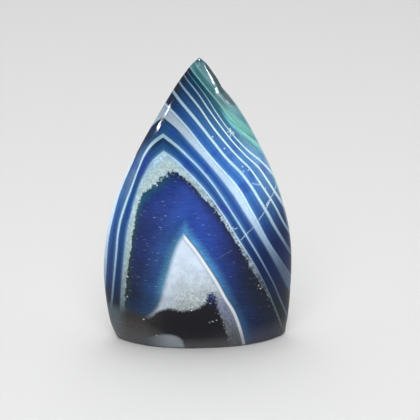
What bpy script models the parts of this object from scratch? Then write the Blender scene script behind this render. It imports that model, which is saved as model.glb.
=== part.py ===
"""A flame carving in blue agate: one polished stone that stands on a flat sawn base.

The stone is a loft. Each level of it is a cushion-shaped ring, and four curves give
that ring its reach to the left, right, front and back. Sizes here are in millimetres,
and MM turns them to Blender's metres. X is the stone's width, -Y its front, Z is up.
"""

import math

import bmesh
import bpy

MM = 0.001

# The whole stone
HEIGHT = 105.0
TIP_ROUND = 2.6
BASE_ROUND = 0.9

# Reach of the two side ridges from the Z axis, as (height, reach)
LEFT_REACH = (
    (0, 29.4), (5, 31.4), (12, 32.7), (25, 33.7), (37, 32.8), (49, 30.4),
    (61, 26.0), (73, 20.2), (85, 13.5), (97, 6.3), (105, 0.3),
)
RIGHT_REACH = (
    (0, 31.7), (8, 32.9), (27, 33.7), (40, 32.8), (52, 30.1), (64, 26.0),
    (76, 20.4), (85, 15.5), (91, 11.5), (94, 8.8), (97, 7.3), (105, 1.9),
)

# Reach of the front and back faces from the plane of the ridges
FRONT_REACH = ((0, 11.2), (9, 13.0), (22, 14.2), (34, 14.4), (52, 13.1), (72, 10.2), (90, 6.3), (105, 1.4))
BACK_REACH = ((0, 11.5), (9, 13.1), (22, 14.1), (36, 14.4), (54, 12.8), (72, 9.7), (90, 5.8), (105, 1.4))

# How square a ring is: under 1 the faces are flatter than an ellipse's, over 1 the ridges are keener
FACE_FLATNESS = 0.84
RIDGE_KEENNESS = 1.48

# Points on the loft
RING_POINTS = 56
FLANK_LEVELS = 38
ROUNDING_LEVELS = 6

# Polished agate, as linear colour
AGATE_BLUE = (0.016, 0.055, 0.25, 1.0)
AGATE_ROUGHNESS = 0.08


def clear_scene():
    for obj in list(bpy.data.objects):
        bpy.data.objects.remove(obj, do_unlink=True)


def reach_at(curve, height):
    """The curve's reach at a height, on a cubic that runs smoothly through its points."""
    last = len(curve) - 1
    start = max(i for i in range(last) if curve[i][0] <= height)

    def slope(i):
        low, high = curve[max(i - 1, 0)], curve[min(i + 1, last)]
        return (high[1] - low[1]) / (high[0] - low[0])

    (z0, r0), (z1, r1) = curve[start], curve[start + 1]
    span = z1 - z0
    u = (height - z0) / span
    from_start = (1 + 2 * u) * (1 - u) ** 2 * r0 + u * (1 - u) ** 2 * span * slope(start)
    from_end = u * u * (3 - 2 * u) * r1 + u * u * (u - 1) * span * slope(start + 1)
    return from_start + from_end


def tip_dome(height):
    """The share of its width that the loft keeps near the tip, where it closes like a dome."""
    down = min(1.0, (HEIGHT - height) / TIP_ROUND)
    return math.sqrt(1 - (1 - down) ** 2)


def base_inset(height):
    """How far the rounded bottom edge stands in from the flank."""
    up = min(1.0, height / BASE_ROUND)
    return BASE_ROUND * (1 - math.sqrt(1 - (1 - up) ** 2))


def levels():
    """The heights of the rings: close together in the two roundings, even between them."""
    quarter = [i / ROUNDING_LEVELS * math.pi / 2 for i in range(ROUNDING_LEVELS + 1)]
    base = [BASE_ROUND * (1 - math.cos(a)) for a in quarter]
    tip = [HEIGHT - TIP_ROUND * (1 - math.sin(a)) for a in quarter[:-1]]
    flank = (tip[0] - base[-1]) / FLANK_LEVELS
    return base + [base[-1] + flank * i for i in range(1, FLANK_LEVELS)] + tip


def signed_power(value, power):
    return math.copysign(abs(value) ** power, value)


def ring(height):
    """One level's outline, anticlockwise from the right ridge, as points in metres."""
    left, right = -reach_at(LEFT_REACH, height), reach_at(RIGHT_REACH, height)
    crown = (left + right) / 2
    half_width = (right - left) / 2
    keep, inset = tip_dome(height), base_inset(height)
    points = []
    for i in range(RING_POINTS):
        angle = 2 * math.pi * i / RING_POINTS
        across = signed_power(math.cos(angle), FACE_FLATNESS)
        through = signed_power(math.sin(angle), RIDGE_KEENNESS)
        depth = reach_at(BACK_REACH if through > 0 else FRONT_REACH, height)
        x = crown + across * (half_width * keep - inset)
        y = through * (depth * keep - inset)
        points.append((x * MM, y * MM, height * MM))
    return points


def agate():
    material = bpy.data.materials.new("polished_blue_agate")
    material.use_nodes = True
    shader = material.node_tree.nodes["Principled BSDF"]
    shader.inputs["Base Color"].default_value = AGATE_BLUE
    shader.inputs["Roughness"].default_value = AGATE_ROUGHNESS
    shader.inputs["Metallic"].default_value = 0.0
    return material


def flame_stone(collection):
    """Lofts the rings, closes the tip with one point, and leaves the base as one flat face."""
    shape = bmesh.new()
    rings = [[shape.verts.new(point) for point in ring(height)] for height in levels()]
    for low, high in zip(rings, rings[1:]):
        for i in range(RING_POINTS):
            j = (i + 1) % RING_POINTS
            shape.faces.new((low[i], low[j], high[j], high[i]))
    tip_x = (reach_at(RIGHT_REACH, HEIGHT) - reach_at(LEFT_REACH, HEIGHT)) / 2
    tip = shape.verts.new((tip_x * MM, 0, HEIGHT * MM))
    for i in range(RING_POINTS):
        shape.faces.new((rings[-1][i], rings[-1][(i + 1) % RING_POINTS], tip))
    shape.faces.new(reversed(rings[0]))
    mesh = bpy.data.meshes.new("flame_stone")
    shape.to_mesh(mesh)
    shape.free()
    mesh.shade_smooth()
    mesh.set_sharp_from_angle(angle=math.radians(50))
    mesh.materials.append(agate())
    stone = bpy.data.objects.new("flame_stone", mesh)
    collection.objects.link(stone)
    return stone


def main():
    clear_scene()
    carving = bpy.data.collections.new("agate_flame_carving")
    bpy.context.scene.collection.children.link(carving)
    flame_stone(carving)


main()
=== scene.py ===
# %% [markdown]
# # A flame carving in dyed blue agate
#
# The real object is one stone. A mason saws a lump of banded agate flat, so that it stands,
# grinds the rest to a flame with two keen side ridges, dyes it blue and polishes it wet until
# it shines like glass. All of its drawing is inside the stone: nested white bands bend round
# a hollow that quartz crystals once lined, and the foot is nearly black.
#
# So there are three jobs here: a fine, smooth skin for the flame, the drawing of the bands,
# and a polished finish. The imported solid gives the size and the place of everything.

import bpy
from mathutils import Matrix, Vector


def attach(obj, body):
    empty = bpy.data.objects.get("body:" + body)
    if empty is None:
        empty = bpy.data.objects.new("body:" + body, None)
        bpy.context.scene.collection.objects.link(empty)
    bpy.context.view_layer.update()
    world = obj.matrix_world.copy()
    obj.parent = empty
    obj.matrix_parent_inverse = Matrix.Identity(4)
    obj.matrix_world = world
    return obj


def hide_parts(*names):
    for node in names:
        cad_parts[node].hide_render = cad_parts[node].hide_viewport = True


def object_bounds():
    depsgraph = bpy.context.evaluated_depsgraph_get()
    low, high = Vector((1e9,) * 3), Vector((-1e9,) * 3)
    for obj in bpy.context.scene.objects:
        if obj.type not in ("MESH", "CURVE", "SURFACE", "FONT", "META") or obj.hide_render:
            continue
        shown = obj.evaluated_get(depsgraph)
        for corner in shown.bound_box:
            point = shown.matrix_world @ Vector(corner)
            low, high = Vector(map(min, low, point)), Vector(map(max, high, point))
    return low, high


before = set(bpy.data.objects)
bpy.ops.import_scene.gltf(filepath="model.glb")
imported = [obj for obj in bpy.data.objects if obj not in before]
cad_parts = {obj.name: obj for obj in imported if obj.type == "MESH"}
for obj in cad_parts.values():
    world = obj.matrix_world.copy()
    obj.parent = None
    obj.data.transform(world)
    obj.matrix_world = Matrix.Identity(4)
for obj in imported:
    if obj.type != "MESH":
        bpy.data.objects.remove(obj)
cad_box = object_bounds()
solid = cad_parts["flame_stone"]
print("solid:", len(solid.data.polygons), "faces")

# %% Blender, numbers and millimetres
import math
from functools import partial

import bpy
import numpy as np
from mathutils import Vector

MM = 0.001
METRE = 1000.0
HEIGHT = cad_box[1].z / MM
print(f"height {HEIGHT:.1f} mm")

# %% [markdown]
# ## The skin: a loft through the solid's rings
#
# The flame is a stack of cushion-shaped rings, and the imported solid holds 51 of them. That is
# enough to stand on and too few to shine: a polished surface shows every flat facet. One could
# subdivide the solid, but that would round its sawn base. Here the rings are read from the
# solid, rings are added between them on smooth curves, and a node tree lofts a fine skin
# through all of them. The base stays flat and the outline stays the solid's own.

# %% Read each ring's height and reach
SAME_RING = 0.006


def ring_reaches(node):
    """Rows of height and reach to the left, right, front and back, in mm, one for each ring."""
    points = np.array([vertex.co for vertex in node.data.vertices]) / MM
    rows = []
    for height in np.unique(np.round(points[:, 2], 2)):
        ring = points[np.abs(points[:, 2] - height) < SAME_RING]
        (left, front, _), (right, back, _) = ring.min(axis=0), ring.max(axis=0)
        rows.append((height, -left, right, -front, back))
    return np.array(rows)


rings = ring_reaches(solid)
print(f"{len(rings)} rings, widest {np.ptp(rings[:, 1:3].sum(axis=1)):.1f} mm")

# %% Add rings between them, on smooth curves
FINER = 5
BASE_ROUND = 0.9
TIP_ROUND = 2.6
HAIR = 0.01


def cubic(u, span, start, end, start_slope, end_slope):
    """The value at share u of a span, on a curve that leaves and arrives at these slopes."""
    from_start = (1 + 2 * u) * (1 - u) ** 2 * start + u * (1 - u) ** 2 * span * start_slope
    from_end = u * u * (3 - 2 * u) * end - u * u * (1 - u) * span * end_slope
    return from_start + from_end


def smooth_rows(rows, finer):
    """The rows, with more of them between each two, on a cubic curve through them all."""
    at, slopes = rows[:, 0], np.gradient(rows, rows[:, 0], axis=0)
    made = []
    for i in range(len(rows) - 1):
        for u in np.arange(finer) / finer:
            made.append(cubic(u, at[i + 1] - at[i], rows[i], rows[i + 1], slopes[i], slopes[i + 1]))
    return np.array(made)


# The two roundings have rings enough, so only the flank between them gets more
below = rings[:, 0] < BASE_ROUND - HAIR
above = rings[:, 0] > HEIGHT - TIP_ROUND - HAIR
flank = (rings[:, 0] > BASE_ROUND - HAIR) & (rings[:, 0] < HEIGHT - TIP_ROUND + HAIR)
levels = np.vstack([rings[below], smooth_rows(rings[flank], FINER), rings[above]])
print(f"{len(levels)} levels for the skin")

# %% [markdown]
# ### One helper for every node
#
# Node trees take many lines when each node is added, set and linked by hand. This helper does
# all three, for geometry and for shading alike. A value that is itself a node links that
# node's first output in use. Colours are written as sRGB hex, as one picks them on a screen,
# and one function turns them to the linear light that Blender reckons in.

# %% Colours
def linear(hex_colour):
    """An sRGB hex colour as linear red, green, blue and 1."""
    values = [int(hex_colour[i:i + 2], 16) / 255 for i in (1, 3, 5)]
    return (*[v / 12.92 if v <= 0.04045 else ((v + 0.055) / 1.055) ** 2.4 for v in values], 1.0)


def colour_of(value):
    """A hex colour, or a grey level that is linear already, as a linear colour."""
    return linear(value) if isinstance(value, str) else (value, value, value, 1.0)


print("half as bright to the eye is", round(linear("#808080")[0], 3), "in linear light")

# %% The helper
def socket_of(sockets, name=None):
    """The first socket in use, or the first one in use with this name."""
    return next(s for s in sockets if s.enabled and name in (None, s.name))


def node(tree, kind, inputs=(), stops=(), **settings):
    """Adds a node with its settings, colour stops and inputs, and returns it.

    The kind is Blender's name for it, alone or with settings of its own. The inputs are a dict by
    name, or one or more values for the sockets in use, in their order.
    """
    kind, own_settings = (kind, {}) if isinstance(kind, str) else kind
    made = tree.nodes.new(kind)
    for name, value in {**own_settings, **settings}.items():
        setattr(made, name, value)
    for i, (position, colour) in enumerate(stops):
        ramp = made.color_ramp.elements
        if i == 0:
            ramp.remove(ramp[1])
            ramp[0].position, ramp[0].color = position, colour_of(colour)
        else:
            ramp.new(position).color = colour_of(colour)
    if isinstance(inputs, dict):
        pairs = [(socket_of(made.inputs, name), value) for name, value in inputs.items()]
    else:
        values = inputs if isinstance(inputs, tuple) else (inputs,)
        pairs = zip([s for s in made.inputs if s.enabled], values)
    for target, value in pairs:
        if isinstance(value, bpy.types.Node):
            value = socket_of(value.outputs)
        if isinstance(value, bpy.types.NodeSocket):
            tree.links.new(value, target)
        elif isinstance(value, str) and value.startswith("#"):
            target.default_value = linear(value)
        else:
            target.default_value = value
    return made


# %% Short names for the kinds used most
PLUS, MINUS, TIMES, OVER, POWER = (
    ("ShaderNodeMath", {"operation": name}) for name in ("ADD", "SUBTRACT", "MULTIPLY", "DIVIDE", "POWER"))
SIZE, SIGN, ROUNDED, FRACTION, TIMES_PLUS = (
    ("ShaderNodeMath", {"operation": name})
    for name in ("ABSOLUTE", "SIGN", "ROUND", "FRACT", "MULTIPLY_ADD"))
LARGER, SMALLER, UNDER, BEYOND, CLOSE_TO = (
    ("ShaderNodeMath", {"operation": name})
    for name in ("MAXIMUM", "MINIMUM", "LESS_THAN", "GREATER_THAN", "COMPARE"))
SCALED, LENGTH = (("ShaderNodeVectorMath", {"operation": name}) for name in ("SCALE", "LENGTH"))
SPLIT, JOIN, SPLIT_COLOUR = "ShaderNodeSeparateXYZ", "ShaderNodeCombineXYZ", "ShaderNodeSeparateColor"
MAP, MIX, MAPPING = "ShaderNodeMapRange", "ShaderNodeMix", "ShaderNodeMapping"
NOISE, CELLS, RAMP = "ShaderNodeTexNoise", "ShaderNodeTexVoronoi", "ShaderNodeValToRGB"
# SOFT maps one range to another with eased ends, and BLEND mixes two colours instead of two numbers.
# CLOSE_TO gives 1 where its first two values differ by less than its third, and TIMES_PLUS
# multiplies two values and adds a third.
SOFT = (MAP, {"interpolation_type": "SMOOTHSTEP"})
BLEND = (MIX, {"data_type": "RGBA"})


def report(what, tree):
    """Says how many nodes a tree has once this is in it."""
    print(f"{what}: {len(tree.nodes)} nodes so far")


print("node helper ready, for example", TIMES)

# %% [markdown]
# ### The levels as a line of points
#
# A node tree can't read a Python list, but it can read a mesh. Each level becomes one point of
# a small mesh, and the point carries where the level's middle is and how far it reaches.

# %% A spine that carries the levels
spine = bpy.data.meshes.new("flame_spine")
spine.from_pydata([(0, 0, height * MM) for height in levels[:, 0]], [], [])
CARRIED = {
    "crown": (levels[:, 2] - levels[:, 1]) / 2,
    "half_width": (levels[:, 2] + levels[:, 1]) / 2,
    "front": levels[:, 3],
    "back": levels[:, 4],
}
for name, values in CARRIED.items():
    spine.attributes.new(name, "FLOAT", "POINT").data.foreach_set("value", values * MM)
print("spine:", len(spine.vertices), "points that carry", ", ".join(CARRIED))

# %% [markdown]
# ### The loft as a node tree
#
# Each ring follows one rule. With x across and y through, both from -1 to 1, the outline is
# |x|^p + |y|^q = 1. At p = q = 2 that is an ellipse. A larger p flattens the two faces, and a
# smaller q sharpens the two ridges, which is how a hand-ground flame feels: broad cheeks and
# crisp sides. The tree bends a plain cylinder to that rule, level by level, then rubs the
# ridges a little round and takes off a few hundredths of a millimetre in slow waves, as hand
# polishing does, so that reflections aren't ruler-straight.

# %% Start the tree and name its inputs
loft = bpy.data.node_groups.new("flame_loft", "GeometryNodeTree")
loft.interface.new_socket("Geometry", in_out="OUTPUT", socket_type="NodeSocketGeometry")
LOFT_INPUTS = {
    "Spine": "Geometry", "Ring Points": "Int", "Base Rings": "Int", "Face Power": "Float",
    "Ridge Power": "Float", "Ridge Rubbing": "Int", "Wave Depth": "Float", "Wave Length": "Float",
    "Agate": "Material",
}
for name, kind in LOFT_INPUTS.items():
    loft.interface.new_socket(name, in_out="INPUT", socket_type="NodeSocket" + kind)
add = partial(node, loft)
given = add("NodeGroupInput").outputs
print("loft takes", ", ".join(LOFT_INPUTS))

# %% A plain cylinder with a ring for each level
spine_size = add("GeometryNodeAttributeDomainSize", given["Spine"])
last_level = add(MINUS, (spine_size.outputs["Point Count"], 1))
tube = add("GeometryNodeMeshCylinder", {
    "Vertices": given["Ring Points"], "Side Segments": last_level, "Fill Segments": given["Base Rings"],
    "Radius": 1, "Depth": 1}, fill_type="TRIANGLE_FAN")
position = add("GeometryNodeInputPosition")
unit = add(SPLIT, position).outputs
level = add(ROUNDED, add(TIMES, (add(PLUS, (unit["Z"], 0.5)), last_level)))
report("cylinder", loft)

# %% What the spine says about each point's level
here = {}
for name in CARRIED:
    carried = add("GeometryNodeInputNamedAttribute", name)
    here[name] = add("GeometryNodeSampleIndex", (given["Spine"], carried, level))
height = add("GeometryNodeSampleIndex", (given["Spine"], position, level), data_type="FLOAT_VECTOR")
report("levels read", loft)

# %% Bend each ring to the rule
NOT_ZERO = 1e-6
WELD_GAP = 1e-4 * MM
radius = add(LENGTH, add(JOIN, (unit["X"], unit["Y"])))
sideways = add(SIZE, add(OVER, (unit["X"], add(LARGER, (radius, NOT_ZERO)))))
faced = add(POWER, (sideways, given["Face Power"]))
left_over = add(LARGER, (add(MINUS, (1, faced)), 0))
through = add(POWER, (left_over, add(OVER, (1, given["Ridge Power"]))))
is_back = add("FunctionNodeCompare", (unit["Y"], 0), operation="GREATER_THAN")
depth = add("GeometryNodeSwitch", (is_back, here["front"], here["back"]), input_type="FLOAT")
ring_x = add(PLUS, (add(TIMES, (unit["X"], here["half_width"])), here["crown"]))
reach_y = add(TIMES, (add(TIMES, (through, radius)), depth))
ring_y = add(TIMES, (reach_y, add(SIGN, unit["Y"])))
ring_place = add(JOIN, (ring_x, ring_y, add(SPLIT, height).outputs["Z"]))
topless = add("GeometryNodeDeleteGeometry", (tube, tube.outputs["Top"]), domain="FACE")
bent = add("GeometryNodeSetPosition", {"Geometry": topless, "Position": ring_place})
closed = add("GeometryNodeMergeByDistance", {"Geometry": bent, "Distance": WELD_GAP})
report("rings bent", loft)

# %% Rub the ridges round, away from the base and the tip
BASE_KEPT = (0.9 * MM, 3 * MM)
TIP_KEPT = (102 * MM, 99 * MM)
RIDGE_NEAR = (3 * MM, 0.8 * MM)
spot = add(SPLIT, position).outputs
clear = add(TIMES, (add(MAP, (spot["Z"], *BASE_KEPT)), add(MAP, (spot["Z"], *TIP_KEPT))))
keen = add(MAP, (add(SIZE, spot["Y"]), *RIDGE_NEAR))
rubbing = (position, given["Ridge Rubbing"], add(TIMES, (keen, clear)))
rubbed = add("GeometryNodeBlurAttribute", rubbing, data_type="FLOAT_VECTOR")
ridged = add("GeometryNodeSetPosition", {"Geometry": closed, "Position": rubbed})
report("ridges rubbed", loft)

# %% Polish slow waves into the faces, and end the tree
waves = add(NOISE, (position, add(OVER, (1, given["Wave Length"])), 1, 0.4))
cut = add(TIMES, (add(TIMES, (waves, given["Wave Depth"])), clear))
inward = add(SCALED, (add("GeometryNodeInputNormal"), add(TIMES, (cut, -1))))
waved = add("GeometryNodeSetPosition", {"Geometry": ridged, "Offset": inward})
real = add("GeometryNodeRealizeInstances", add("GeometryNodeSetShadeSmooth", waved))
add("NodeGroupOutput", add("GeometryNodeSetMaterial", {"Geometry": real, "Material": given["Agate"]}))
report("whole loft", loft)

# %% Run it and keep the result as a plain mesh
def placed(name, data):
    """A new object in the scene, at the origin, that holds this mesh, lamp or camera."""
    made = bpy.data.objects.new(name, data)
    bpy.context.scene.collection.objects.link(made)
    return made


def baked(holder, tree, values):
    """Runs a tree on an object with these inputs, and leaves the object holding the plain result."""
    modifier = holder.modifiers.new(tree.name, "NODES")
    modifier.node_group = tree
    names = {item.name: item.identifier for item in tree.interface.items_tree if item.in_out == "INPUT"}
    for name, value in values.items():
        modifier[names[name]] = value
    bpy.context.view_layer.update()
    seen = holder.evaluated_get(bpy.context.evaluated_depsgraph_get())
    mesh = bpy.data.meshes.new_from_object(seen)
    holder.modifiers.clear()
    old, holder.data = holder.data, mesh
    bpy.data.meshes.remove(old)
    mesh.name = holder.name
    return mesh


RING_POINTS = 416
BASE_RINGS = 12
FACE_FLATNESS = 0.84
RIDGE_KEENNESS = 1.48
RUBBING_PASSES = 6
WAVE_DEPTH = 0.10 * MM
WAVE_LENGTH = 22 * MM
agate = bpy.data.materials.new("polished_dyed_agate")
stone = placed("polished_flame_stone", spine)
mesh = baked(stone, loft, {
    "Ring Points": RING_POINTS, "Base Rings": BASE_RINGS,
    "Face Power": 2 / FACE_FLATNESS, "Ridge Power": 2 / RIDGE_KEENNESS,
    "Ridge Rubbing": RUBBING_PASSES, "Wave Depth": WAVE_DEPTH, "Wave Length": WAVE_LENGTH, "Agate": agate,
})
mesh.calc_loop_triangles()
print(f"skin: {len(mesh.vertices)} points, {len(mesh.loop_triangles)} triangles")

# %% [markdown]
# ## The drawing of the bands
#
# Agate grows inwards from the wall of a hollow, one thin coat after another, so its bands are
# nested like the skins of an onion and a cut shows them as lines side by side. A texture of
# random waves can't give that, and a picture isn't needed. Each white line of the front is
# given by a few guide points instead, in millimetres, x across and z up. Every point of the
# skin then gets one number, `band`: 1 on the first line outside the hollow, 2 on the second,
# and fractions between. The material turns that number into colour.

# %% The white lines, from the hollow outwards
HOLLOW = (-3.0, -10.0)
GUIDE_STEP = 0.5

# Each line: the left limb upwards, the corner, and the right limb downwards
READ_LINES = {
    "hollow edge": (
        ((-27.5, -4), (-26.6, 15.3), (-24.7, 33.3), (-22.9, 45.3), (-21.2, 53.8), (-19.4, 58.7),
         (-14.8, 63)),
        (-8.9, 67.8),
        ((-5.9, 66.4), (-3, 63.9), (3, 55.7), (7.6, 49.1), (14.3, 37.2), (20.9, 23.8), (24.5, 18),
         (31, 1)),
    ),
    "first": (
        ((-29, -4), (-28.1, 16.3), (-26.7, 32.8), (-24.9, 45.6), (-22.4, 55.6), (-17.6, 67.5),
         (-14.7, 71.2)),
        (-11.9, 73.9),
        ((-8.9, 72), (-3.2, 66.8), (5.1, 56.9), (12.9, 43.9), (21.3, 28.7), (28.8, 8.9), (32.5, -4)),
    ),
    "second": (
        ((-33, -4), (-31.4, 13.3), (-30.1, 25.8), (-29, 36), (-28.4, 42), (-27.3, 48), (-25.8, 53),
         (-23.2, 60), (-20.8, 66.5), (-18.3, 72.2), (-15.3, 76.5)),
        (-12.1, 79.4),
        ((-8.8, 77.3), (-3.1, 72.2), (3.1, 65.4), (11.4, 52.5), (16.6, 43.4), (25.6, 25.6), (31.4, 9.8),
         (36, -4)),
    ),
    "broad band inside": (
        ((-34, -4), (-33.2, 18.9), (-32.5, 30), (-31.75, 38.5), (-30.4, 45.5), (-27.4, 56.3),
         (-22.4, 68.2), (-17.3, 78.8), (-14, 82.6)),
        (-11.8, 84.5),
        ((-10.3, 83.7), (-8.3, 82.6), (-2.7, 77.2), (3.1, 70.6), (9.4, 62.6), (17.8, 48.7), (26, 33.3),
         (33, 17.1), (41, -2)),
    ),
}

# Outside the broad band the left limbs lie beyond the front, so only corner and right limb are read
RIGHT_LINES = {
    "broad band outside": (
        (-12, 89), (-9.3, 87.4), (-5, 83.6), (1, 76.2), (7.1, 68.8), (12.5, 62.4), (18.9, 50.8),
        (24.2, 39.7), (30.4, 28.8), (33.1, 23.3), (43, 1),
    ),
    "third": (
        (-12, 96.6), (-8.4, 93.1), (-1.9, 86.1), (5.6, 76.6), (9.7, 71.3), (13.9, 66.7), (17.1, 62.2),
        (23.1, 51.6), (26.7, 44.6), (36.2, 26), (47, 4),
    ),
    "fourth": (
        (-12, 102.1), (-6.2, 96.6), (-0.45, 90.3), (5.6, 81.5), (9.7, 76.3), (14.1, 71), (17.8, 66.9),
        (20.5, 62.6), (27, 51.5), (30.1, 44.7), (39.2, 28), (51, 6),
    ),
    "fifth": (
        (-12, 105.7), (-4.55, 99), (-1.55, 95.8), (4.05, 87.8), (8.3, 81.8), (12.5, 76.1), (16.8, 71.1),
        (21, 66.4), (24.1, 61.4), (28.8, 52.9), (41.3, 31), (54, 8),
    ),
    "sixth": (
        (-12, 108.7), (-3.35, 100.5), (2.95, 92.7), (6.25, 87.3), (11.2, 80.2), (17, 73.1),
        (22.25, 67.8), (26.9, 61.5), (43, 34), (57, 10),
    ),
    "green edge": (
        (-12, 111.7), (-2.15, 101.8), (4.55, 93.6), (6.95, 90.8), (12.7, 83.6), (20.1, 76.1),
        (28, 67.5), (46, 38), (60, 14),
    ),
    "teal": (
        (-12, 115), (-0.5, 103.5), (3.3, 98.5), (8.5, 91.5), (15, 83.5), (23, 76), (32, 66), (50, 40),
        (64, 16),
    ),
    "outside": (
        (-12, 119), (1.5, 107), (6, 101), (12, 94), (19, 86), (27, 79), (36, 68), (54, 42), (68, 18),
    ),
}
print(len(READ_LINES) + len(RIGHT_LINES), "guide lines")

# %% Smooth a line and see it from the hollow
def flowing(points):
    """A smooth curve through guide points, as points close together."""
    points = np.array(points, float)
    along = np.concatenate([[0], np.cumsum(np.linalg.norm(np.diff(points, axis=0), axis=1))])
    slopes = np.gradient(points, along, axis=0)
    at = np.linspace(0, along[-1], int(along[-1] / GUIDE_STEP) + 2)
    i = np.clip(np.searchsorted(along, at, side="right") - 1, 0, len(points) - 2)
    span = (along[i + 1] - along[i])[:, None]
    u = (at - along[i])[:, None] / span
    return cubic(u, span, points[i], points[i + 1], slopes[i], slopes[i + 1])


def from_hollow(x, z):
    """Angle and distance from the middle of the hollow, with 0 straight up and more to the right."""
    across, up = x - HOLLOW[0], z - HOLLOW[1]
    return np.arctan2(across, up), np.hypot(across, up)


def line_distances(angle):
    """How far each white line is from the hollow's middle, in the direction of each angle."""
    found = []
    for left, corner, right in READ_LINES.values():
        curve = np.vstack([flowing((*left, corner)), flowing((corner, *right))[1:]])
        line_angle, distance = from_hollow(*curve.T)
        found.append(np.interp(angle, line_angle, distance))
    broad_angle, broad_distance, broad = line_angle, distance, found[-1]
    for points in RIGHT_LINES.values():
        line_angle, distance = from_hollow(*flowing(points).T)
        gap = distance[0] - np.interp(line_angle[0], broad_angle, broad_distance)
        found.append(np.where(angle < line_angle[0], broad + gap, np.interp(angle, line_angle, distance)))
    return found


CORNER_ANGLE = -0.1
at_corner = line_distances(np.array([CORNER_ANGLE]))
print("lines above the corner, mm:", [round(float(d[0]), 1) for d in at_corner])

# %% [markdown]
# ### Behind the front
#
# The guide points come from the front. The coats go right through the stone, so the back shows
# the same family of lines, cut at another depth: moved, a little wider and never a mirror copy.
# The lookup slides by a few millimetres as it goes from the ridges to the back's middle. At the
# ridges the slide is zero, so each line runs round them unbroken.

# %% Where each point of the skin looks up its band
BACK_WIDER = 0.08
SLIDE_ACROSS, WAVE_UP = 5.0, 21
SLIDE_UP, SWAY_UP, WAVE_ACROSS = 8.0, 3.0, 15
coords = np.empty(len(mesh.vertices) * 3)
mesh.vertices.foreach_get("co", coords)
x, y, z = (coords.reshape(-1, 3) / MM).T
behind = np.clip(y / levels[:, 4].max(), 0, 1) ** 1.5
look_x = x * (1 + BACK_WIDER * behind) + behind * SLIDE_ACROSS * np.sin(z / WAVE_UP + 0.6)
look_z = z + behind * (SLIDE_UP + SWAY_UP * np.sin(x / WAVE_ACROSS + 1.0))
print(f"back slides up to {np.hypot(look_x - x, look_z - z).max():.1f} mm")

# %% The band number of every point
INSIDE_STEP = 5.0
SMALLEST_GAP = 0.3


def band_numbers(x, z):
    """Where points lie in the banding: 0 on the hollow's edge, and 1 more at each line outwards."""
    angle, distance = from_hollow(x, z)
    lines = line_distances(angle)
    band = (distance - lines[0]) / INSIDE_STEP
    for k, (near, far) in enumerate(zip(lines, lines[1:])):
        beyond = k + (distance - near) / np.maximum(far - near, SMALLEST_GAP)
        band = np.where(distance > near, beyond, band)
    return band


band = band_numbers(look_x, look_z)
print(f"bands from {band.min():.1f} to {band.max():.1f}")

# %% [markdown]
# ### The tent, the black foot, the cracks, the sparkles and the last facet
#
# More things are drawn by their edges: the pale tent in the middle of the hollow, the black
# zone under it with its grey lens, and a facet beside the tip, which gets a painted dark
# reflection. Healed cracks are given by the lines they follow, and painted sparkles, small bright
# highlights, by their middles. The skin's points get their distance from each in millimetres,
# and an edge also a sign that tells its two sides apart. A distance is better than a mask here,
# because the material can then make the same edge soft in one place and frayed in another.

# %% Edges, cracks and sparkles, as guide points in mm
EDGE_GUIDES = {
    "tent_left": (
        (-26, 6), (-22, 10), (-17.8, 12.9), (-14.9, 16.4), (-13.5, 19.7), (-12.2, 25.3), (-10.7, 30.8),
        (-8.9, 37.1), (-7.1, 41.9), (-5.3, 44.7), (-2.5, 49), (2, 56),
    ),
    "tent_right": (
        (-13, 60), (-8.4, 51), (-4.9, 45), (-1.4, 40.3), (2.6, 34), (6.6, 27), (9.3, 21.3), (12.5, 15.2),
        (14.8, 8.4), (16.6, 0.4), (17.5, -6),
    ),
    "black": (
        (-40, 14), (-30, 14), (-22, 14), (-17.9, 13.3), (-13.8, 16.1), (-10, 17), (-6.4, 16.3),
        (-2.8, 16.9), (0.4, 17.9), (2.2, 19.8), (3, 22.8), (4.6, 23), (6, 19), (6.9, 15.5), (8.6, 11.1),
        (10.2, 5.6), (11.7, 1.5), (12.3, -5),
    ),
    "lens": (
        (-26, -2), (-21.5, 2), (-17.5, 4.6), (-13, 6.1), (-9, 5.9), (-6.4, 4.3), (-5.4, 1.6), (-5.1, -4),
    ),
}
# Healed cracks, and two short strokes near (11, 80) that draw a bright Y, a painted sparkle
CRACKS_AND_GLINT = (
    ((28.6, 60.5), (26.9, 57), (23.8, 53.3)), ((25.3, 54.6), (23.2, 51.2), (20.8, 48.4)),
    ((19, 46.3), (16.6, 44.4), (14.4, 42.3)), ((11.2, 38.9), (8.4, 37.4), (5.5, 36)),
    ((18.7, 61.8), (20.2, 61.1), (22, 60.6)), ((10, 80.6), (11.1, 80.7), (12.4, 79.6)),
    ((10.9, 81.6), (11.2, 79.9), (10.9, 78.9)), ((11.5, 47.3), (12.4, 46.6), (13.3, 47.1)))
# Sparkles are painted highlights: bright points where crystal faces catch the lamps
FOOT_SPARKLES = (
    (-7.1, 16.4), (-2.9, 16.4), (-0.8, 17.2), (3.8, 19), (6, 12), (4.6, 11.6), (3.5, 11.3), (-15.3, 5.4),
    (-19.8, 11.6), (-25.4, 19.8), (-25.2, 27.7), (21, 24.1), (21.7, 22.7))
SPARKLES = (
    (15.5, 66.5), (15.2, 68.2), (8.9, 75.2), (4.8, 79.5), (23.5, 58.9), (17.3, 66.5), (-15, 62.8),
    (-14.4, 62.2), (-13.1, 71.5), (-11.7, 72.7), (10, 90.4), (10.7, 89.8), *FOOT_SPARKLES)
FACET_EDGE = (
    (16, 85.6), (13, 87.6), (10.6, 89.4), (9, 91), (7.5, 92.9), (6.5, 95.2), (5.1, 97.7), (3.7, 100.1),
    (2.4, 102.2), (1.5, 106))
print(len(CRACKS_AND_GLINT), "cracks and", len(SPARKLES), "specks")

# %% Distances from them
FACET_WRAP = 0.4


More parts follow.
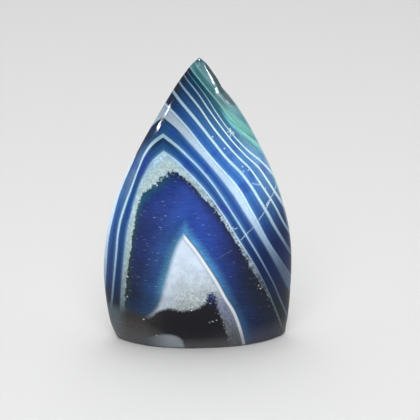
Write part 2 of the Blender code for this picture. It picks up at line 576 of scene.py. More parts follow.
def side_distance(guide, x, z):
    """Distance from a guide in mm, positive on the right of the way it runs."""
    curve = flowing(guide)
    nearest = np.full(x.shape, np.inf)
    side = np.ones(x.shape)
    for (x0, z0), (x1, z1) in zip(curve, curve[1:]):
        dx, dz = x1 - x0, z1 - z0
        share = np.clip(((x - x0) * dx + (z - z0) * dz) / (dx * dx + dz * dz), 0, 1)
        away = np.hypot(x - x0 - share * dx, z - z0 - share * dz)
        closer = away < nearest
        nearest = np.where(closer, away, nearest)
        side = np.where(closer, np.sign(dz * (x - x0) - dx * (z - z0)), side)
    return nearest * side


to_back = np.maximum(y, 0)
edges = {name: side_distance(guide, look_x, look_z) for name, guide in EDGE_GUIDES.items()}
edges["crack"] = np.min([np.abs(side_distance(line, x, z)) for line in CRACKS_AND_GLINT], axis=0) + to_back
edges["speck"] = np.min([np.hypot(x - a, z - b) for a, b in SPARKLES], axis=0) + to_back
edges["facet"] = side_distance(FACET_EDGE, x, z) - FACET_WRAP * to_back
edges["from_ridge"] = np.interp(z, levels[:, 0], levels[:, 2]) - x
edges["from_left"] = x + np.interp(z, levels[:, 0], levels[:, 1])
for name, values in edges.items():
    print(f"{name}: {values.min():.1f} to {values.max():.1f} mm")

# %% Give the numbers to the skin
for name, values in {"band": band, **edges}.items():
    mesh.attributes.new(name, "FLOAT", "POINT").data.foreach_set("value", values.astype(np.float32))
print("attributes:", [a.name for a in mesh.attributes if not a.name.startswith(".")])

# %% [markdown]
# ## The finish: dyed agate, ground and polished wet
#
# Agate is quartz, so its gloss is that of glass: no metal, an index of refraction of 1.54 and
# very little roughness. What the eye enjoys is under that gloss. Dye soaks into some coats and
# not into others, so white coats stay white and the rest turn blue, and each blue coat is
# palest beside a white line. A picture would fix all that to one view. Here the numbers on the
# skin and a few ramps, noises and cells draw it on every side. In what follows, bare numbers
# beside `across`, `up` and the distances are millimetres on the stone, and numbers beside
# `coat` are bands. A mask is 1 where something shows and 0 where it doesn't.

# %% Coordinates
agate.use_nodes = True
tree = agate.node_tree
shader = tree.nodes["Principled BSDF"]
add = partial(node, tree)
place = add("ShaderNodeTexCoord").outputs["Object"]
mm = add(MAPPING, {"Vector": place, "Scale": (METRE, METRE, METRE)})
axes = add(SPLIT, mm).outputs
across, up = axes["X"], axes["Z"]
number = {
    name: add("ShaderNodeAttribute", attribute_name=name).outputs["Fac"] for name in ("band", *edges)}

# A noise seldom leaves this range
USUAL = (0.3, 0.7)


def patch(x, z, reach_x, reach_z):
    """A soft oval patch as a mask, 1 in its middle and 0 outside it, with place and reach in mm."""
    moved = add(MAPPING, {
        "Vector": mm, "Location": (-x / reach_x, 0, -z / reach_z), "Scale": (1 / reach_x, 0, 1 / reach_z)})
    return add(SOFT, (add(LENGTH, moved), 1, 0))


print("the material reads", ", ".join(number))

# %% [markdown]
# ### How much light comes back out
#
# Agate is a little see-through. Where it is thick and pale inside, light comes back and the
# colours glow. Towards the tip and the foot on the right it doesn't, and blue sinks to ink.
# That light and shade are painted into the colours. Two slow masks say where: 1 where the stone
# glows and 0 where it has gone dark. One more paints shade on the white lines along the upper
# left ridge.

# %% Masks for the tip and the foot
to_left = add(SMALLER, (across, 0))
foot_line = add(TIMES_PLUS, (add(LARGER, (add(MINUS, (across, 8)), 0)), -1.3, up))
core_line = add(TIMES_PLUS, (add(LARGER, (across, 0)), -0.9, up))
white_line = add(TIMES_PLUS, (to_left, 0.3, foot_line))
ground_tip = add(SOFT, (up, 101, 66))
ground_foot = add(SOFT, (foot_line, 11, 54))
white_tip = add(SOFT, (up, 106, 80, 0.08))
white_foot = add(SOFT, (white_line, -2, 42, 0.2))
# Painted shade: the white lines dim along the upper left ridge, in the stone's upper part
ridge_dim = add(SOFT, (number["from_left"], 0, 6, 0.8))
ridge_light = add(MIX, (add(SOFT, (up, 66, 84)), 1, ridge_dim))
white_light = add(TIMES, (add(TIMES, (white_tip, white_foot)), ridge_light))
right_side = add(SOFT, (across, -5, 8))
left_side = add(SOFT, (across, -2, -12))
report("masks", tree)

# %% [markdown]
# ### The blue coats
#
# Every coat repeats one profile: pale beside the white line it starts from, deep in its middle
# and a little paler before the next line. So the whole part of `band` picks the dye, and its
# fraction picks the place on that profile. Dye gathers unevenly, so the coats wander a little
# and carry fine stripes of their own.

# %% Which coat, and how far through it
BAND_SPAN = 12.0
WANDER = 0.08


def along(steps, span=BAND_SPAN, start=0):
    """Colour stops from steps at places along a span, since a ramp runs from 0 to 1."""
    return [((at - start) / span, colour) for at, colour in steps]


wandering = add(NOISE, (mm, 0.12, 2))
coat = add(MINUS, (add(TIMES_PLUS, (wandering, WANDER, number["band"])), WANDER / 2))
share = add(OVER, (coat, BAND_SPAN))
print("bands 0 to", BAND_SPAN, "on each ramp")

# %% Profile and dye
PROFILE = (
    (0, 1), (0.11, 0.85), (0.19, 0.38), (0.3, 0.14), (0.42, 0.02), (0.62, 0), (0.76, 0.12), (0.9, 0.3),
    (0.97, 0.8))
DEEP_DYE = (
    (1.5, "#235496"), (2.5, "#2a5aa8"), (4.5, "#3c78cc"), (5.5, "#568ed8"), (6.5, "#5890cc"),
    (7.5, "#649cd4"), (8.35, "#5c9ec0"), (8.6, "#6ab0c4"))
# The same dyes in painted shade, as they look towards the tip
TIP_DYE_IN_SHADE = (
    (1.5, "#1c2a5c"), (4.5, "#14214c"), (5.5, "#112348"), (6.5, "#0e2846"), (7.5, "#072e46"),
    (8.5, "#093c4a"))
pale_ramp = add(RAMP, add(FRACTION, coat), stops=PROFILE)
off_apex = add(MINUS, (left_side, patch(-12.5, 72, 9, 9)), use_clamp=True)
first_left = add(TIMES, (off_apex, add(UNDER, (coat, 1.5))))
paleness = add(TIMES, (pale_ramp, add(MAP, (first_left, 0, 1, 1, 0.62))))
stripes = add(NOISE, (add(TIMES, (coat, 9)), 1, 5, 0.65), noise_dimensions="1D")
striped = add(MAP, (stripes, *USUAL, 0.78, 1.2))
# Painted shade: towards the tip the pale beside each line and the dye both darken
glow_colour = add(BLEND, (ground_tip, "#39707e", "#78aee0"))
paled = add(BLEND, (paleness, add(RAMP, share, stops=along(DEEP_DYE)), glow_colour))
tip_shaded = add(BLEND, (ground_tip, add(RAMP, share, stops=along(TIP_DYE_IN_SHADE)), paled))
# Painted shade for the coats at the foot on the right, greyer at the very bottom
foot_shade = add(BLEND, (add(SOFT, (up, 10, 32)), "#141f24", "#001d4e"))
footed_coat = add(BLEND, (ground_foot, foot_shade, tip_shaded))
report("dyed coats", tree)

# %% The left ridge: painted shade along it, darker under the first line and milky below
near_ridge = add(SOFT, (number["from_left"], 6, 0, 0, 0.95))
ridge_high = add(SOFT, (up, 62, 78))
# Painted shade along the upper left ridge and round the corner of the lines beside it, darkest at the
# ridge
ridge_shade_mask = add(LARGER, (
    add(TIMES, (near_ridge, ridge_high)), add(TIMES, (patch(-13, 79, 13, 12), 0.8))))
ridge_shade_colour = add(BLEND, (near_ridge, "#24506f", "#0a1022"))
ridge_shaded = add(BLEND, (ridge_shade_mask, footed_coat, ridge_shade_colour))
under_line = add(TIMES, (
    add(TIMES, (add(MAP, (coat, 1.45, 1.86)), patch(-13.5, 76.5, 9, 8))), add(UNDER, (coat, 1.97))))
shaded = add(BLEND, (add(TIMES, (under_line, 1.1), use_clamp=True), ridge_shaded, "#17183a"))
# Painted shade: a greyer tint on the upper left flank
left_flank_shade = add(TIMES, (patch(-20, 67, 10, 14), add(UNDER, (coat, 1.97))))
left_flank_shaded = add(BLEND, (add(TIMES, (left_flank_shade, 0.5)), shaded, "#38435f"))
left_low = add(SOFT, (across, -16, -26, 1, 0.8))
milky_place = add(TIMES, (add(MAP, (coat, 2.95, 2.45, 0.35)), patch(-23, 62, 12, 20)))
outer_left = add(TIMES, (add(TIMES, (left_side, milky_place)), add(BEYOND, (coat, 2.1))))
milky = add(BLEND, (add(SOFT, (up, 54, 70)), "#5a86b4", "#6684ac"))
rim_place = add(TIMES, (left_side, add(MAP, (up, 58, 67))))
rim_end = add(TIMES, (add(MAP, (coat, 2.6, 3)), rim_place))
blue_level = add(TIMES, (add(TIMES, (striped, left_low)), add(MAP, (rim_end, 0, 1, 1, 0.5))))
blue = add(SCALED, (add(BLEND, (outer_left, left_flank_shaded, milky)), blue_level))
report("blue coats", tree)

# %% [markdown]
# ### Violet patches and the green edge
#
# Dye doesn't take evenly, so the blue turns violet in cloudy patches. Outside the last white
# line the coats are greener, and finer than the eye can follow, so stretched noise streaks
# them instead of guide lines.

# %% Draw both
clouds = add(NOISE, {"Vector": mm, "Scale": 0.1, "Detail": 3, "Distortion": 0.4})
violet_mask = add(SOFT, (clouds, 0.5, 0.68, 0, 0.6))
violet = add(BLEND, (violet_mask, blue, "#2a3ba0"))
violet_lit = add(BLEND, (add(TIMES, (ground_tip, ground_foot)), blue, violet))
GREEN_DYE = (
    (8.44, "#5f9cb8"), (8.6, "#6cb2c0"), (8.72, "#72bab8"), (8.84, "#66b0aa"), (8.95, "#5aa49c"),
    (9.1, "#5ea8a2"), (9.3, "#64aca6"), (9.5, "#68a8a8"), (9.7, "#5a9498"), (10, "#48848c"),
    (10.6, "#5c949a"))
TIP_GREEN = (
    (8.7, "#0a3442"), (8.8, "#3a6670"), (8.9, "#6e98a0"), (8.97, "#7aa2aa"), (9.07, "#608b90"),
    (9.2, "#3a6b6b"), (9.6, "#3c6a70"), (9.8, "#527e86"), (9.95, "#6f9aa2"), (10.2, "#5e8489"))
green_high = add(RAMP, share, stops=along(TIP_GREEN))
green_flow = add(JOIN, (add(TIMES, (coat, 14)), add(TIMES, (up, 0.1))))
green_level = add(MAP, (add(NOISE, (green_flow, 1, 4, 0.6)), *USUAL, 0.3, 1.75))
green_height = add(SOFT, (up, 91.5, 84))
green_cool = add(BLEND, (green_height, green_high, add(RAMP, share, stops=along(GREEN_DYE))))
green_in = add(MINUS, (coat, add(MAP, (green_height, 0, 1, 8.7, 8.44))))
green_mask = add(SOFT, (green_in, -0.06, 0.08))
ground = add(BLEND, (green_mask, violet_lit, add(SCALED, (green_cool, green_level))))
report("violet and green", tree)

# %% [markdown]
# ### The white coats
#
# The thin lines are about 0.7 mm wide. The broad band starts softly and ends in a brighter
# line, with a thin grey one just before it, and turns grey towards the corner.

# %% Where the white lines are
WHITE = (
    (0.9, 0), (0.95, 1), (1.035, 1), (1.09, 0), (1.9, 0), (1.95, 1), (2.06, 1), (2.11, 0), (2.85, 0),
    (2.95, 0.18), (3.03, 0.55), (3.1, 0.9), (3.18, 1), (4.1, 1), (4.14, 0), (4.92, 0), (4.98, 0.95),
    (5.17, 1), (5.23, 0), (5.93, 0), (5.98, 1), (6.14, 1), (6.2, 0), (6.92, 0), (6.96, 1), (7.14, 1),
    (7.21, 0), (7.9, 0), (7.94, 0.9), (8.04, 0.9), (8.1, 0))
white_ramp = add(RAMP, share, stops=along(WHITE))
white_corner = patch(-12, 84.5, 8, 9)
crisp_place = add(TIMES, (
    add(TIMES_PLUS, (white_corner, 3, left_side), use_clamp=True),
    add(CLOSE_TO, (coat, 2.95, 0.35))))
crisp_at = add(MINUS, (coat, add(TIMES, (white_corner, 0.08))))
crisp = add(MIX, (crisp_place, white_ramp, add(MAP, (crisp_at, 2.96, 3.03))))
wide_line = add(MAP, (add(SIZE, add(MINUS, (coat, 1.96))), 0.13, 0.08))
whites = add(LARGER, (add(TIMES, (left_side, wide_line)), crisp))
print(len(WHITE), "steps of white")

# %% Their colour
WHITE_DYE = (
    (1.2, "#d2f1ff"), (1.7, "#b4daf8"), (2.4, "#b4daf8"), (2.8, "#c8e4ff"), (3.9, "#c8e4ff"),
    (4, "#c4edff"), (5, "#ccf1ff"), (6, "#daf8ff"))
IN_BROAD = ((2.5, 0), (2.7, 1), (3.9, 1), (3.98, 0.5), (4.14, 0.5), (4.2, 0))
greying = add(TIMES, (add(RAMP, share, stops=along(IN_BROAD)), add(SOFT, (up, 72, 88))))
greyed = add(BLEND, (greying, add(RAMP, share, stops=along(WHITE_DYE)), "#95a2ab"))
inner_left = add(TIMES, (left_side, add(UNDER, (coat, 2.5))))
left_lined = add(BLEND, (inner_left, greyed, "#b9dcf0"))
white_colour = add(BLEND, (patch(-13, 78, 9, 8), left_lined, "#8db2be"))
# Painted shade: the white lines turn blue towards the tip and the foot
shaded_whites = add(BLEND, (add(TIMES, (white_tip, white_foot)), "#a4c8ff", white_colour))
report("white colours", tree)

# %% Their brightness, and the lines laid over the blue
BROAD_START, BROAD_SPAN = 3, 1.25
# Half the level, because a ramp ends at 1
HALF_TONE = ((3, 0.46), (3.5, 0.475), (3.78, 0.5), (3.86, 0.4), (3.93, 0.4), (3.99, 0.56), (4.2, 0.55))
broad_place = add(MAP, (coat, BROAD_START, BROAD_START + BROAD_SPAN))
tone = add(RAMP, broad_place, stops=along(HALF_TONE, BROAD_SPAN, BROAD_START))
# The whites take the painted light and shade of the masks for tip, foot and left ridge
white_level = add(TIMES, (tone, add(TIMES, (white_light, 2))))
plain_level = add(MIX, (add(UNDER, (coat, 4.5)), white_light, white_level))
banded_level = add(MIX, (add(BEYOND, (coat, 2.5)), white_light, plain_level))
white_kept = add(TIMES, (whites, add(MAP, (first_left, 0, 1, 1, 0.15))))
bright_place = add(PLUS, (left_side, patch(13.5, 56, 11, 13)), use_clamp=True)
broad_left = add(TIMES, (bright_place, add(BEYOND, (coat, 2.5))))
raised = add(MAP, (broad_left, 0, 1, 1, 1.2))
upper_lines = add(TIMES, (add(SOFT, (up, 74, 84)), add(CLOSE_TO, (coat, 4.7, 0.8))))
lowered = add(MAP, (upper_lines, 0, 1, 1, 0.88))
white_dimmed = add(SCALED, (add(SCALED, (shaded_whites, banded_level)), add(TIMES, (raised, lowered))))
plain_banded = add(BLEND, (white_kept, ground, white_dimmed))
fine_level = add(MAP, (add(NOISE, (mm, 1.1, 4, 0.7)), *USUAL, 0.88, 1.12))
banded = add(SCALED, (plain_banded, fine_level))
report("banded stone", tree)

# %% [markdown]
# ### The crystal lining
#
# The hollow was lined with small quartz crystals, like sugar. They end in a ragged edge
# inwards. At the top and left they are pale and close, and on the right dark gaps show
# between them. Grains are 0.3 to 0.8 mm, drawn at 0.7 mm, since finer ones wouldn't show.

# %% Grains
grains = add(CELLS, (mm, 1.5))
grain_parts = add(SPLIT_COLOUR, grains.outputs["Color"])
grain, grain_pick = grain_parts.outputs["Red"], grain_parts.outputs["Green"]
edge_a = add(TIMES_PLUS, (add(NOISE, (mm, 0.42, 5, 0.72)), -1.1, number["band"]))
edge_b = add(TIMES_PLUS, (add(CELLS, (mm, 0.8)), -0.22, edge_a))
right_low = add(TIMES, (right_side, add(SOFT, (up, 68, 52))))
edge_c = add(TIMES_PLUS, (right_low, -0.42, edge_b))
lining = add(MAP, (edge_c, -0.74, -0.62))
report("lining's edge", tree)

# %% Their colour, and a low grey coat beside them
lumps = add(NOISE, (mm, 0.5, 3, 0.6))
soft_lumps = add(MAP, (lumps, *USUAL, 0.86, 1.1))
soft_grain = add(TIMES, (add(MAP, (grain, 0, 1, 0.8, 1.16)), soft_lumps))
hard_lumps = add(MAP, (lumps, 0.35, 0.65, 0.6, 1.25))
hard_grain = add(TIMES, (add(MAP, (grain, 0, 1, 0.42, 1.75)), hard_lumps))
pale_colour = add(BLEND, (add(SOFT, (coat, 0.45, 0.85)), "#b3cbd0", "#a7c9dc"))
gap_colour = add(BLEND, (grain_pick, "#93adc4", "#a2aebc"))
crystal_colour = add(BLEND, (right_side, pale_colour, gap_colour))
crystal_grain = add(MIX, (right_side, soft_grain, hard_grain))
# The lining takes the same painted light and shade as the white lines
crystals = add(SCALED, (crystal_colour, add(TIMES, (crystal_grain, white_light))))
plain_lined = add(BLEND, (add(SOFT, (coat, 0.9, 1)), crystals, banded))
LOW_COAT = ((0, 0), (0.15, 0.7), (0.62, 0.8), (0.74, 0))
low_width = add(RAMP, add(MAP, (coat, 0.5, 1.3)), stops=LOW_COAT)
low_coat = add(TIMES, (add(TIMES, (low_width, add(SOFT, (up, 26, 18)))), right_side))
lined = add(BLEND, (low_coat, plain_lined, "#4e6266"))
report("lining", tree)

# %% [markdown]
# ### The hollow's filling
#
# Inside the lining the stone is clear, deeply dyed quartz: indigo, brightest in the middle,
# greenish beside the lining, with a glow round the pale tent.

# %% The core
core_dark = add(BLEND, (left_side, "#1e2963", "#21326c"))
core_mid = add(BLEND, (patch(-3, 50, 17.5, 27), core_dark, "#2c4caa"))
low = add(SOFT, (add(TIMES_PLUS, (to_left, 0.45, core_line)), 36, 6))
fringe = add(SOFT, (edge_c, -1.6, -0.72))
fringe_left = add(BLEND, (add(MAP, (up, 30, 56)), "#22353c", "#285468"))
fringe_right = add(BLEND, (add(MAP, (up, 28, 58)), "#131a2a", "#1e2f56"))
fringe_colour = add(BLEND, (add(SOFT, (across, -15, -7)), fringe_left, fringe_right))
fringed = add(BLEND, (fringe, add(BLEND, (low, core_mid, "#141f36")), fringe_colour))
report("core's colour", tree)

# %% The glow round the tent, and the core's streaks
tent_inside = add(SMALLER, (number["tent_left"], number["tent_right"]))
far_halo = add(SOFT, (tent_inside, -11, -1, 0, 0.75))
near_halo = add(SOFT, (tent_inside, -4, 0.6))
halo_low = add(SOFT, (core_line, 2, 38, 0.2))
far_colour = add(BLEND, (left_side, "#2850ae", "#2f5c98"))
near_left = add(BLEND, (add(SOFT, (up, 26, 14)), "#5a9cb8", "#40585e"))
near_colour = add(BLEND, (left_side, "#58a6da", near_left))
haloed = add(BLEND, (add(TIMES, (far_halo, halo_low)), fringed, far_colour))
glowing = add(BLEND, (add(TIMES, (near_halo, halo_low)), haloed, near_colour))
streaked = add(NOISE, (add(MAPPING, {"Vector": mm, "Scale": (0.3, 0.3, 1.5)}), 1, 5, 0.7))
streak_level = add(MAP, (streaked, *USUAL, 0.72, 1.24))
blotches = add(MAP, (clouds, *USUAL, 0.78, 1.17))
core = add(SCALED, (glowing, add(TIMES, (streak_level, blotches))))
hollow = add(BLEND, (lining, core, lined))
report("core", tree)

# %% Flecks, where short healed seams in the core catch light
dash_grid = add(MAPPING, {"Vector": mm, "Rotation": (0, 0.12, 0), "Scale": (0.46, 0.5, 2.3)})
dashes = add(CELLS, (dash_grid, 1))
dash_pick = add(SPLIT_COLOUR, dashes.outputs["Color"]).outputs["Red"]
dash_near = add(MAP, (dashes, 0.32, 0.1))
dash_rare = add(MAP, (dash_pick, 0.8, 1, 0, 0.75))
dash_side = add(MAP, (across, 8, -6, 0.5, 1.3))
dash_height = add(MAP, (up, 20, 36, 0.4))
dash_place = add(TIMES, (add(MINUS, (1, lining)), add(TIMES, (dash_side, dash_height))))
dash_mask = add(TIMES, (add(TIMES, (dash_near, dash_rare)), dash_place), use_clamp=True)
flecked = add(BLEND, (dash_mask, hollow, "#a4c0e8"))
report("flecks", tree)

# %% [markdown]
# ### The tent
#
# A pale cone of opaque quartz stands in the hollow. Its left flank fades softly, its right
# flank is a crisp white coat with a thin darker line inside it, and its foot breaks up into
# grit over the black.

# %% Draw the tent
tent_soft = add(SOFT, (number["tent_left"], -1.3, 0.9))
tent_mask = add(TIMES, (tent_soft, add(MAP, (number["tent_right"], -0.5, -0.2))))
gritty = add(TIMES, (add(SOFT, (up, 34, 20)), add(SOFT, (across, -14, -5, 0.1))))
speck_level = add(MAP, (add(NOISE, (mm, 1.4, 3, 0.7)), 0.34, 0.62, 0.62, 1.14))
curds = add(NOISE, {"Vector": mm, "Scale": 0.32, "Detail": 4, "Roughness": 0.6, "Distortion": 0.6})
tent_curd = add(MIX, (add(SOFT, (up, 42, 32)), 1, add(MAP, (curds, 0.34, 0.6, 0.85, 1.1))))
tent_grain = add(TIMES, (add(MIX, (gritty, 1, speck_level)), tent_curd))
# Painted shade: the tent darkens towards its foot
tent_tone = add(SOFT, (up, 14, 38, 0.66))
tent_colour = add(BLEND, (gritty, "#dcecff", "#dcebf0"))
report("tent's grain", tree)

# %% Its right limb and its rim
RIM_SPAN, RIM_START = 10.0, -1
RIM = ((-0.5, 1), (0.95, 1), (1.15, 0.4), (1.5, 0.3), (1.8, 0))
RIM_LINE = ((-0.15, 0), (0.15, 1), (0.95, 1), (1.15, 0))
limb_low = add(SOFT, (up, 26, 18))
limb_near = add(SOFT, (number["tent_right"], 7, 4))
limb_colour = add(BLEND, (add(SOFT, (up, 4, 20)), "#72787f", "#a3adcc"))
tent_violet = add(BLEND, (add(TIMES, (limb_low, limb_near)), tent_colour, limb_colour))
tent_body = add(SCALED, (tent_violet, add(TIMES, (tent_grain, tent_tone))))
rim_at = add(MAP, (number["tent_right"], RIM_START, RIM_START + RIM_SPAN))
rim = add(RAMP, rim_at, stops=along(RIM, RIM_SPAN, RIM_START))
rim_line = add(RAMP, rim_at, stops=along(RIM_LINE, RIM_SPAN, RIM_START))
rim_shade = add(BLEND, (add(MAP, (number["tent_right"], 0.2, 0.8)), "#4c6474", "#8c9cb2"))
rim_dark = add(BLEND, (rim_line, rim_shade, "#f0f6ff"))
# Painted shade: the rim darkens towards the bottom too
rim_lit = add(SCALED, (rim_dark, add(SOFT, (up, 0, 34, 0.66))))
tent = add(BLEND, (rim, tent_body, rim_lit))
tented = add(BLEND, (tent_mask, flecked, tent))
report("tent", tree)

# %% [markdown]
# ### The black foot
#
# Under the tent the dye met iron-rich quartz and the stone is nearly black. The border is
# frayed under the tent, and the black turns brown on the left, with a painted reflection of the
# floor greying it towards the bottom. A grey lens lies on the sawn edge.

# %% Draw the foot
fray = add(NOISE, (mm, 1.2, 5, 0.8))
notch = patch(4.3, 22.5, 4.5, 6)
fray_depth = add(TIMES_PLUS, (notch, 3.5, add(MAP, (across, -9, -13, 4.6, 1.2))))
frayed = add(TIMES_PLUS, (add(MINUS, (fray, 0.5)), fray_depth, number["black"]))
border = add(MIX, (add(SOFT, (across, -15, -21)), 0.95, 3.2))
black_mask = add(SOFT, (add(OVER, (frayed, border)), -0.8, 0.8))
black_colour = add(BLEND, (add(SOFT, (across, -9, -22)), "#16161f", "#34312f"))
notched = add(BLEND, (notch, black_colour, "#1d2b60"))
teal_black = add(BLEND, (add(SOFT, (across, -25, -30)), notched, "#4c5c62"))
# Painted reflection of the floor: the black greys towards the bottom, reaching higher on the left
low_reach = add(MAP, (across, -8, -20, 5, 12))
left_floor_reflection = add(TIMES, (add(MINUS, (1, add(OVER, (up, low_reach)))), 0.8), use_clamp=True)
black_with_reflection = add(BLEND, (left_floor_reflection, teal_black, "#666467"))
black_lit = add(SCALED, (black_with_reflection, add(MAP, (streaked, 0.35, 0.7, 0.88, 1.22))))
report("foot's colour", tree)

# %% Lay the foot and the lens over the rest
inside_limb = add(MAP, (number["tent_right"], 1.5, 2.2))
footed = add(BLEND, (add(TIMES, (black_mask, inside_limb)), tented, black_lit))
lens_colour = add(BLEND, (add(SOFT, (across, -20, -9)), "#545a62", "#9aa2aa"))
lens_mask = add(SOFT, (number["lens"], -0.5, 0.9, 0, 0.9))
lensed = add(BLEND, (lens_mask, footed, lens_colour))
report("foot", tree)

# %% [markdown]
# ### Cracks, sparkles, glints, facet and edges
#
# The last touches: healed cracks as broken pale lines, among them a bright Y that is a painted
# sparkle; painted sparkles; glints where single crystal faces catch the light, painted as pale
# dots; a dark facet beside the tip, which is a painted reflection; paler painted light along the
# thin right ridge; a painted reflection of the floor low on the front; a painted dark rim round
# the tip; and a pale line on the ground edge of the base, a painted reflection of the floor.
# Cracks and sparkles are finer than a render shows, so both are drawn a few tenths of a
# millimetre wide.

# %% The cracks, the sparkles and the glints
# Healed cracks as pale lines, with one bright Y among them that is a painted sparkle
crack_and_glint_line = add(MAP, (number["crack"], 0.34, 0.12))
crack_and_glint_kept = add(MAP, (add(NOISE, (mm, 0.7, 2)), 0.35, 0.6, 0.45, 0.95))
crack_and_glint_far = add(MAP, (coat, 0.2, 1.4, 0.15))
crack_and_glint_mask = add(TIMES, (add(TIMES, (crack_and_glint_line, crack_and_glint_kept)), crack_and_glint_far))
# Painted sparkles
sparkle_mask = add(MAP, (number["speck"], 0.42, 0.16, 0, 0.95))
glint_rare = add(MAP, (grain_pick, 0.86, 0.97))
by_black = add(MAP, (add(SIZE, number["black"]), 2.4, 0.6))
tent_only = add(TIMES, (by_black, tent_soft))
lining_only = add(TIMES, (add(MAP, (edge_b, -1.1, -0.5)), add(MAP, (coat, 0.75, 0.5))))
glint_place = add(LARGER, (lining_only, add(TIMES, (tent_only, inside_limb))))
glint = add(TIMES, (add(TIMES, (add(MAP, (grains, 0.34, 0.16)), glint_rare)), glint_place))
glint_mask = add(TIMES, (glint, 0.75))
report("cracks, specks and glints", tree)

# %% Painted light and shade: the facet, the thin ridge, the low front, the tip and the base's edge
# Painted reflection: the facet beside the tip shows dark
facet_reflection_mask = add(SOFT, (number["facet"], -0.1, 0.7, 0, 0.88))
# Painted light along the thin right ridge
edge_reach = add(MAP, (up, 78, 66, 0.5, 1))
thin_edge = add(SOFT, (add(OVER, (number["from_ridge"], edge_reach)), 1, 0.1))
edge_high = add(SOFT, (up, 96, 90))
thin_part = add(TIMES, (add(TIMES, (thin_edge, add(SOFT, (up, 30, 56)))), edge_high))
thin_ridge_light_mask = add(TIMES, (thin_part, 0.6))
thin_ridge_light_colour = add(BLEND, (patch(27, 59, 5, 6), "#b4c6dc", "#a4dcd4"))
# Painted reflection of the floor, low on the front and stronger to the right
floor_reflection_mask = add(TIMES, (add(SOFT, (across, -2, 20, 0.12, 0.5)), add(SOFT, (up, 10, 0.5))))
# Painted shade: a dark rim round the tip
tip_shade_mask = add(SOFT, (up, 102.6, 104.4, 0, 0.8))
# Painted reflection of the floor on the ground edge of the base
base_edge_reflection_mask = add(SOFT, (up, 0.9, 0.3, 0, 0.3))
report("masks for the last touches", tree)

# %% Lay them over the stone, one after another
finished = lensed
for mask, colour in (
    (crack_and_glint_mask, "#cfe6f8"), (sparkle_mask, "#eef8ff"), (glint_mask, "#e8f4fa"), (facet_reflection_mask, "#33454e"),
    (thin_ridge_light_mask, thin_ridge_light_colour), (floor_reflection_mask, "#5e5e62"), (tip_shade_mask, "#1d4454"), (base_edge_reflection_mask, "#80858a"),
):
    finished = add(BLEND, (mask, finished, colour))
report("drawing finished", tree)

# %% [markdown]
# ### The polish
#
# A wet polish leaves quartz as smooth as glass: a roughness of 0.03 to 0.07, which varies in
# slow smears, so that lamps show as sharp shapes with soft changes inside them. The sawn base
# is matt at its very edge, and the upper right ridge is rubbed a little dull. A typical
# specular level is 0.5. Here it is lower, because an even pale room all round would lay a
# grey veil over the blue.

# %% Link the drawing and set the gloss
tree.links.new(socket_of(finished.outputs), shader.inputs["Base Color"])
polish = add(MAP, (add(NOISE, (mm, 0.06, 4)), *USUAL, 0.03, 0.07))
by_ridge = add(SOFT, (number["from_ridge"], 5.5, 4))
dull_here = add(TIMES, (add(SOFT, (up, 94, 91.5)), add(SOFT, (up, 48, 64))))
rubbed_dull = add(TIMES_PLUS, (add(TIMES, (by_ridge, dull_here)), 0.55, polish))
rough = add(PLUS, (rubbed_dull, add(MAP, (up, 0.7, 0.05, 0, 0.36))))
tree.links.new(socket_of(rough.outputs), shader.inputs["Roughness"])
shader.inputs["Metallic"].default_value = 0.0
shader.inputs["IOR"].default_value = 1.54
shader.inputs["Specular IOR Level"].default_value = 0.17
report("agate", tree)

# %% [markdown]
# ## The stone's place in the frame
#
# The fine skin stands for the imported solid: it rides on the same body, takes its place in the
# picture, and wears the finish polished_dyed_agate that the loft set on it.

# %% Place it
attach(stone, "root")
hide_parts("flame_stone")
print("placed:", stone.name)

# %% [markdown]
# ## Floor, light and camera
#
# A polished stone shows what stands round it, so the studio is part of its look. The floor is
# matt pale paper: it gives the eye a soft shadow and no mirror image. The sheet is large, so
# that its edge stays out of every view.

# %% The floor
FLOOR_HALF = 6.0
floor_mesh = bpy.data.meshes.new("floor")
corners = [(x * FLOOR_HALF, y * FLOOR_HALF, 0) for x, y in ((-1, -1), (1, -1), (1, 1), (-1, 1))]
floor_mesh.from_pydata(corners, [], [(0, 1, 2, 3)])
floor = placed("floor", floor_mesh)
paper = bpy.data.materials.new("matt_pale_paper")
paper.use_nodes = True
paper_shader = paper.node_tree.nodes["Principled BSDF"]
paper_shader.inputs["Base Color"].default_value = linear("#c0c0c0")
paper_shader.inputs["Roughness"].default_value = 0.9
paper_shader.inputs["Specular IOR Level"].default_value = 0.1
floor_mesh.materials.append(paper)
print("floor", 2 * FLOOR_HALF, "m wide")

# %% [markdown]
# ### The lamps
#
# Two softboxes light the stone from above and from the front. The other lamps only show as
# mirror images in the polish, as thin strips do in a studio: two on the left ridge, one on the
# right shoulder and one on the tip. Their light on the colours themselves is switched off, so
# that each highlight can be placed without washing out the blue.

# %% Softboxes
def around(azimuth, elevation, distance):
    """A place round the stone, with azimuth 0 in front and 90 to the right, in degrees and metres."""
    a, e = math.radians(azimuth), math.radians(elevation)
    return Vector((math.sin(a) * math.cos(e), -math.cos(a) * math.cos(e), math.sin(e))) * distance


def softbox(name, azimuth, elevation, distance, size, watts, aim=HEIGHT / 2, lights_stone=True):
    """A lamp seen in that direction from the stone's axis at the height aim, in mm.

    A lamp that doesn't light the stone is only seen mirrored in its polish.
    """
    centre = Vector((0, 0, aim * MM))
    lamp = bpy.data.lights.new(name, "AREA")
    lamp.shape = "RECTANGLE"
    lamp.size, lamp.size_y = size
    lamp.energy = watts
    box = placed(name, lamp)
    box.location = centre + around(azimuth, elevation, distance)
    box.rotation_euler = (centre - box.location).to_track_quat("-Z", "Y").to_euler()
    box.visible_diffuse = lights_stone


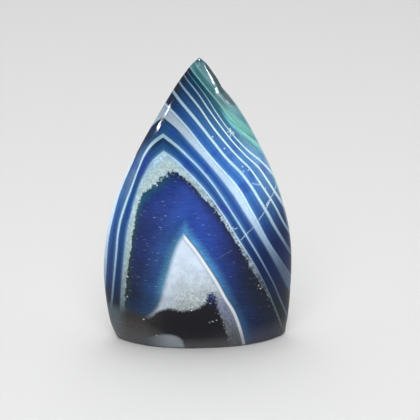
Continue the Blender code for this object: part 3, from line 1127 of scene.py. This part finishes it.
softbox("softbox_top", 180, 72, 1.4, (1.3, 1.3), 13.0)
softbox("softbox_front", -6, 52, 1.2, (0.9, 0.7), 12.6)
softbox("strip_left_low", -91, 14.0, 0.8, (0.13, 0.008), 0.42, aim=82, lights_stone=False)
softbox("strip_left_high", -91, 15.1, 0.8, (0.11, 0.004), 0.18, aim=86.3, lights_stone=False)
softbox("strip_right", 82.5, 20, 0.8, (0.18, 0.21), 6.2, aim=97, lights_stone=False)
softbox("spot_tip", -45, 88, 0.8, (0.26, 0.20), 60.0, aim=103, lights_stone=False)
print("lamps:", ", ".join(lamp.name for lamp in bpy.data.lights))

# %% The room: pale behind the stone and dim behind the camera
DIM, PALE = 0.05, 0.7
world = bpy.data.worlds.new("pale_room")
bpy.context.scene.world = world
world.use_nodes = True
room = world.node_tree
room_axes = node(room, SPLIT, node(room, "ShaderNodeTexCoord").outputs["Generated"]).outputs
brightness = node(room, SOFT, (room_axes["Y"], -0.6, 0.2, DIM, PALE))
room.links.new(socket_of(brightness.outputs), room.nodes["Background"].inputs["Color"])
bpy.context.scene.view_settings.view_transform = "Standard"
print("room from", DIM, "to", PALE)

# %% [markdown]
# ### The camera
#
# The camera looks down 22 degrees from a little left of the front, through a long lens, so
# that the ridges hardly converge. Its place follows from one pixel: the middle of the stone's
# base has to be seen there.

# %% Place the camera
FRAME_PIXELS = 420
SENSOR = 36.0
LENS = 152.4
CAMERA_AZIMUTH = -3.0
CAMERA_PITCH = 22.0
BASE_PIXEL = (198, 335)
BASE_DEPTH = 0.6467
camera_data = bpy.data.cameras.new("camera")
camera_data.lens = LENS
camera_data.sensor_width = SENSOR
camera_data.clip_end = 30.0
camera = placed("camera", camera_data)
camera.rotation_euler = (math.radians(90 - CAMERA_PITCH), 0, math.radians(CAMERA_AZIMUTH))
focal = LENS / SENSOR * FRAME_PIXELS
seen_across = (BASE_PIXEL[0] - FRAME_PIXELS / 2) / focal
seen_up = (FRAME_PIXELS / 2 - BASE_PIXEL[1]) / focal
seen = Vector((seen_across, seen_up, -1)) * BASE_DEPTH
camera.location = -(camera.rotation_euler.to_matrix() @ seen)
bpy.context.scene.camera = camera
print("camera at", [round(c / MM, 1) for c in camera.location])
